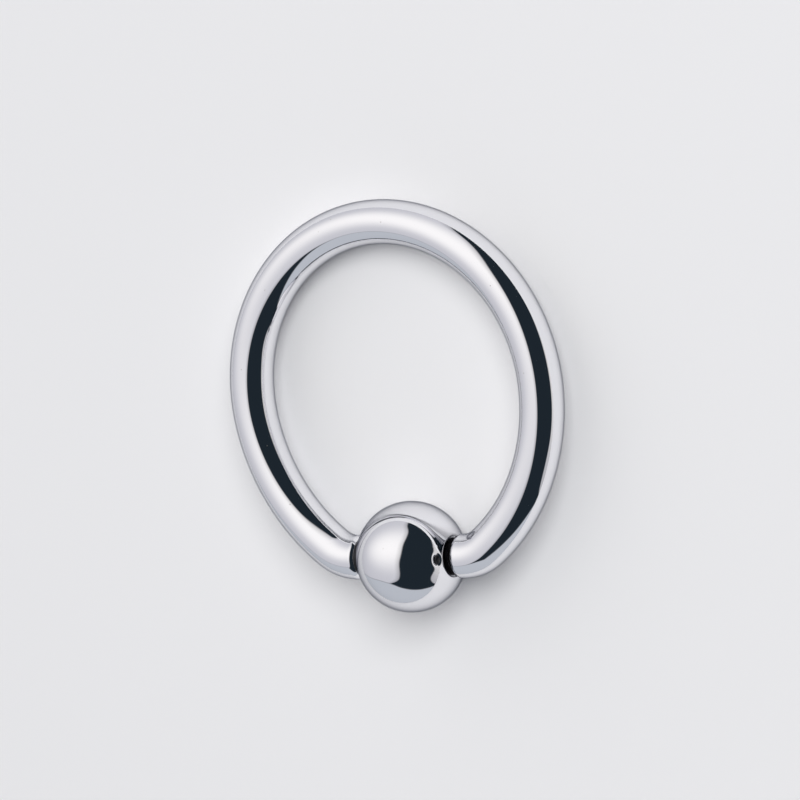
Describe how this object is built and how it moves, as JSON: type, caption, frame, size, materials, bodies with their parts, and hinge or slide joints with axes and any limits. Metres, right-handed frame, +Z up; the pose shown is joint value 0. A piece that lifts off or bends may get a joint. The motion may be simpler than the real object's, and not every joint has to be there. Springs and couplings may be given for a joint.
{
  "type": "captive bead ring",
  "caption": "Captive bead ring: an open ring of round steel wire whose ends hold a dimpled ball.",
  "frame": {"origin": "on the surface that the ring lies on, below the middle of its box", "axes": "+Z up, +X along the line through the bead's dimples, +Y from the bead to the far side of the wire"},
  "size_m": [0.0104, 0.0112, 0.003],
  "materials": {
    "wire_steel": "mirror polished surgical steel wire",
    "bead_steel": "mirror polished surgical steel ball"
  },
  "bodies": {
    "ring": {"ring": "wire_steel"},
    "bead": {"bead": "bead_steel"}
  },
  "joints": [
    {"name": "bead_spin", "type": "hinge", "parent": "ring", "child": "bead", "pos_m": [0, -0.00406, 0.0015], "axis": [1, 0, 0], "continuous": true}
  ]
}
